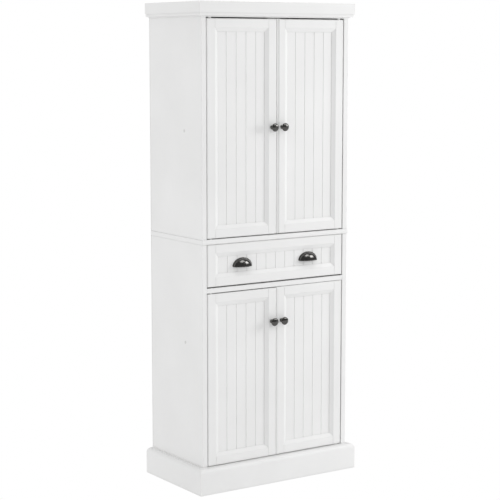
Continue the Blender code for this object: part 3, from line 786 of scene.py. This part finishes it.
def rubbed_bronze(name):
    """Dark patina over bronze: mottled tone and gloss, and brighter metal where the casting is proud."""
    material, tree, shader, place = new_finish(name)
    patina = tones(tree, noise(tree, place, 160.0, 5.0), (0.090, 0.088, 0.085), (0.130, 0.127, 0.123))
    proud = add_node(tree, "ShaderNodeNewGeometry").outputs["Pointiness"]
    rubbed = spread(tree, proud, 0.0, 0.45, 0.52, 0.60)
    colour = add_node(tree, "ShaderNodeMixRGB", {"Fac": rubbed, "Color1": patina, "Color2": BARE_BRONZE})
    gloss = spread(tree, noise(tree, place, 90.0, 4.0), 0.15, 0.22)
    cast = bump(tree, noise(tree, place, 900.0, 3.0), 0.00003)
    connect(tree, shader, Base_Color=colour.outputs["Color"], Roughness=gloss, Normal=cast)
    shader.inputs["Metallic"].default_value = 0.85
    return material


def spline(points, steps):
    """A smooth curve through the points: on each span a cubic whose end slopes follow the neighbours."""
    p = np.array(points, float)
    p = np.vstack([2 * p[0] - p[1], p, 2 * p[-1] - p[-2]])
    t = (np.arange(steps) / steps)[None, :, None]
    a, b, c, d = (p[i:len(p) - 3 + i, None, :] for i in range(4))
    square = (2 * a - 5 * b + 4 * c - d) * t ** 2
    cube = (3 * b - a - 3 * c + d) * t ** 3
    curve = 0.5 * (2 * b + (c - a) * t + square + cube)
    return np.vstack([curve.reshape(-1, 2), p[-2]])


def knob_rings(low, high):
    """A knob turned about a line from the door: the foot and neck are a smooth curve, the rim a short
    band, and the head a quarter of an ellipse from the rim to the tip."""
    reach = high[1] - low[1]
    radius = (high[0] - low[0]) / 2
    angle = np.radians(np.linspace(0, 90, 14))
    head = np.column_stack([KNOB_RIM + (reach - KNOB_RIM) * np.sin(angle), radius * np.cos(angle)])
    profile = np.vstack([[(0.0, 0.0)], spline(KNOB_BASE, 4), head])
    profile[:, 1] = np.clip(profile[:, 1], 0.0, radius)
    centre = ((low[0] + high[0]) / 2, high[1], (low[2] + high[2]) / 2)
    return turned(profile, centre, (0, -1, 0), 56)


dark_bronze = rubbed_bronze("dark_bronze")
for door in DOORS:
    knob_low, knob_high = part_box(door + "_knob")
    add_piece(door + "_knob_turned", knob_rings(knob_low, knob_high), dark_bronze, door,
              [door + "_knob"], sharp=40.0)
    rear_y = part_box(door + "_frame")[1][1]
    bolt = ((knob_low[0] + knob_high[0]) / 2, rear_y, (knob_low[2] + knob_high[2]) / 2)
    add_screws(door + "_knob_bolt", [bolt], (0, 1, 0), door, *BOLT_HEAD)

# ---------------------------------------------------------------- Pivots
# Each door turns on a steel pin at its top and bottom, set in from the outer edge. A pale nylon
# collar on the pin keeps the gap between the door and the board that it turns in.
COLLAR_RADIUS = 0.0065
PIN_RADIUS = 0.0030
SHANK_RADIUS = 0.0040
PIN_IN_BOARD = 0.010
PIN_POINT = 0.0008
PIN_STEP = 0.0002
COLLAR_FIT = 0.0001
COLLAR_CLEAR = 0.0003
COLLAR_ARRIS = 0.0003


def add_pivot(node, body):
    """A stepped pin and the collar round it, on the middle line of the pivot's box."""
    low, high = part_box(node)
    upward = 1 if node.endswith("top") else -1
    door_low, door_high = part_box(body + "_frame")
    edge = door_high[2] if upward > 0 else door_low[2]
    shank = (edge - low[2]) if upward > 0 else (high[2] - edge)
    tip = (high[2] - edge) if upward > 0 else (edge - low[2])
    centre = ((low[0] + high[0]) / 2, (low[1] + high[1]) / 2, edge)
    pin = np.array([(-shank, 0.0), (-shank, SHANK_RADIUS), (PIN_STEP, SHANK_RADIUS), (PIN_STEP, PIN_RADIUS),
                    (tip - PIN_POINT, PIN_RADIUS), (tip - 0.3 * PIN_POINT, PIN_RADIUS - 0.6 * PIN_POINT),
                    (tip, PIN_RADIUS - PIN_POINT), (tip, 0.0)])
    rings = turned(pin, centre, (0, 0, upward), 28)
    add_piece(node + "_pin", rings, zinc_plate, body, [node])
    inner = PIN_RADIUS + COLLAR_FIT
    top = tip - PIN_IN_BOARD - COLLAR_CLEAR
    outer = COLLAR_RADIUS - COLLAR_ARRIS
    near = arc(COLLAR_CLEAR + COLLAR_ARRIS, outer, COLLAR_ARRIS, 180, 90, 3)
    far = arc(top - COLLAR_ARRIS, outer, COLLAR_ARRIS, 90, 0, 3)
    collar = np.vstack([[(COLLAR_CLEAR, inner)], near, far, [(top, inner)]])
    rings = turned(collar, centre, (0, 0, upward), 36)
    add_piece(node + "_collar", rings, white_nylon, body)


for door in DOORS:
    add_pivot(door + "_pivot_top", door)
    add_pivot(door + "_pivot_bottom", door)

# ---------------------------------------------------------------- Strike plates
# A small plated steel plate on the back of each meeting stile, facing the magnet of the catch and
# held by one cross-head screw sunk into it.
STRIKE_X = (0.006, 0.028)
STRIKE_HEIGHT = 0.012
STRIKE_THICK = 0.0010
STRIKE_DROP = 0.0012
STRIKE_ARRIS = 0.0003
STRIKE_HEAD = (0.0026, 0.0004)
for door in DOORS:
    low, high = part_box(door + "_frame")
    sign = -1 if door.endswith("left") else 1
    x = sorted(sign * edge for edge in STRIKE_X)
    top = high[2] - STRIKE_DROP
    face = high[1] + STRIKE_THICK
    plate = rounded_board((x[0], high[1], top - STRIKE_HEIGHT), (x[1], face, top), STRIKE_ARRIS)
    add_piece(door + "_strike_plate", plate, zinc_plate, door)
    middle = (sum(x) / 2, face, top - STRIKE_HEIGHT / 2)
    add_screws(door + "_strike_screw", [middle], (0, 1, 0), door, *STRIKE_HEAD)

# ---------------------------------------------------------------- Cup pulls
# Two pressed half-dome pulls, open below, on a thin flange that lies on the drawer panel. Two
# bolts through the panel hold each from inside.
PULL_WALL = 0.0022
PULL_FLANGE = 0.003
PULL_FLANGE_THICK = 0.0016
PULL_FILLET = 0.0012
PULL_CORNER = 0.0045
PULL_EDGE = 0.0005
PULL_BOLT_X = 0.032
PULL_BOLT_UP = 0.010
PULL_BOLT_HEAD = (0.0038, 0.0020)


def cup_rings(low, high):
    """A quarter of an ellipsoid shell on a flange, open below.

    A ring is the shell's section at one angle round the half ellipse: back of the flange, its
    rounded rim, out over the dome, a flat lip, and back along the inner wall. The dome is
    half width times cos a across, height times sin a cos b up, and depth times sin a sin b out.
    Its two lower corners are drawn in along a quarter circle.
    """
    half = (high[0] - low[0]) / 2 - PULL_FLANGE
    tall = high[2] - low[2] - PULL_FLANGE
    deep = high[1] - low[1]
    a = np.linspace(0, np.pi, 97)[:, None]
    sweep = np.maximum(np.sin(a), 0.0)
    rim = arc(-PULL_EDGE, -PULL_EDGE, PULL_EDGE, 0, 90, 3)
    flange_x = (half + PULL_FLANGE + rim[:, 0]) * np.cos(a)
    flange_z = (tall + PULL_FLANGE + rim[:, 0]) * sweep
    flange_y = PULL_FLANGE_THICK + rim[:, 1] + 0 * a
    b = np.linspace(0, np.pi / 2, 25)
    fillet = PULL_FILLET * np.exp(-12 * b)
    dome_x = (half + fillet) * np.cos(a)
    dome_z = (tall + fillet) * sweep * np.cos(b)
    dome_y = PULL_FLANGE_THICK + (deep - PULL_FLANGE_THICK) * sweep * np.sin(b)
    back_b = b[::-1]
    inner_x = (half - PULL_WALL) * np.cos(a) + 0 * back_b
    inner_z = (tall - PULL_WALL) * sweep * np.cos(back_b)
    inner_y = (deep - PULL_WALL) * sweep * np.sin(back_b)
    x = np.hstack([(half + PULL_FLANGE) * np.cos(a), flange_x, dome_x, inner_x])
    z = np.hstack([(tall + PULL_FLANGE) * sweep, flange_z, dome_z, inner_z])
    y = np.hstack([0 * a, flange_y, dome_y, inner_y])
    short = np.clip(PULL_CORNER - (tall + PULL_FLANGE) * sweep, 0, PULL_CORNER)
    x = x - np.sign(np.cos(a)) * (PULL_CORNER - np.sqrt(PULL_CORNER ** 2 - short ** 2))
    middle = (low[0] + high[0]) / 2
    return np.stack([middle + x, high[1] - y, low[2] + z], -1)


panel_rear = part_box("drawer_front_panel")[1][1]
for side in ("left", "right"):
    pull_low, pull_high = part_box(f"cup_pull_{side}")
    add_piece(f"cup_pull_{side}_dome", cup_rings(pull_low, pull_high), dark_bronze, "drawer",
              [f"cup_pull_{side}"], sharp=45.0)
    middle = (pull_low[0] + pull_high[0]) / 2
    bolts = [(middle + sign * PULL_BOLT_X, panel_rear, pull_low[2] + PULL_BOLT_UP) for sign in (-1, 1)]
    add_screws(f"cup_pull_{side}_bolts", bolts, (0, 1, 0), "drawer", *PULL_BOLT_HEAD)

# ---------------------------------------------------------------- Drawer box
# Sides and back of clear-lacquered pale birch, grain along each board, with a thin white bottom
# board slid into a groove in the sides.
WOOD_TONES = ((0.56, 0.42, 0.27), (0.72, 0.58, 0.41))
PORE_TONES = ((0.86, 0.84, 0.80), (1.0, 1.0, 1.0))


def birch(name, along):
    """Birch: long figure and fine pores stretched along one axis, under a thin clear lacquer."""
    material, tree, shader, place = new_finish(name)
    fine = [260.0, 260.0, 260.0]
    broad = [26.0, 26.0, 26.0]
    fine[along] = 9.0
    broad[along] = 1.6
    figure = add_node(tree, "ShaderNodeMapping", {"Vector": place, "Scale": broad}).outputs["Vector"]
    pores = add_node(tree, "ShaderNodeMapping", {"Vector": place, "Scale": fine}).outputs["Vector"]
    flame = tones(tree, noise(tree, figure, 1.0, 6.0, 0.6), *WOOD_TONES, 0.34, 0.66)
    dark = tones(tree, noise(tree, pores, 1.0, 3.0), *PORE_TONES, 0.36, 0.55)
    colour = add_node(tree, "ShaderNodeMixRGB", {"Fac": 1.0, "Color1": flame, "Color2": dark},
                      blend_type="MULTIPLY")
    gloss = spread(tree, noise(tree, pores, 1.0, 2.0), 0.38, 0.54)
    relief = bump(tree, noise(tree, pores, 1.0, 3.0), 0.00008)
    connect(tree, shader, Base_Color=colour.outputs["Color"], Roughness=gloss, Normal=relief)
    return material


finish_nodes(["drawer_side_left", "drawer_side_right"], birch("birch_lengthwise", 1))
finish_nodes(["drawer_back"], birch("birch_crosswise", 0))
finish_nodes(["drawer_bottom"], screen_white)

# ---------------------------------------------------------------- Slides
# A roll-formed zinc channel screwed to each case side, and a rail on the drawer side that runs in
# it. Flat heads sit in the channel, and countersunk ones flush in the rail.
CHANNEL_WEB = 0.0015
CHANNEL_SCREW_END = 0.030
RAIL_SCREW_END = 0.045
SLIDE_SCREWS = 3
CHANNEL_HEAD = (0.0032, 0.0010)
RAIL_HEAD = (0.0030, 0.0003)
finish_nodes(["slide_channel_left", "slide_channel_right"], zinc_plate)
finish_nodes(["slide_rail_left", "slide_rail_right"], zinc_plate)
for side, sign in (("left", -1), ("right", 1)):
    low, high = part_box(f"slide_channel_{side}")
    web = (low[0] + CHANNEL_WEB) if sign < 0 else (high[0] - CHANNEL_WEB)
    middle_z = (low[2] + high[2]) / 2
    stations = np.linspace(low[1] + CHANNEL_SCREW_END, high[1] - CHANNEL_SCREW_END, SLIDE_SCREWS)
    screws = [(web, y, middle_z) for y in stations]
    add_screws(f"slide_channel_screws_{side}", screws, (-sign, 0, 0), "root", *CHANNEL_HEAD)
    low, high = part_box(f"slide_rail_{side}")
    foot = low[0] if sign < 0 else high[0]
    stations = np.linspace(low[1] + RAIL_SCREW_END, high[1] - RAIL_SCREW_END, SLIDE_SCREWS)
    screws = [(foot, y, middle_z) for y in stations]
    add_screws(f"slide_rail_screws_{side}", screws, (sign, 0, 0), "drawer", *RAIL_HEAD)
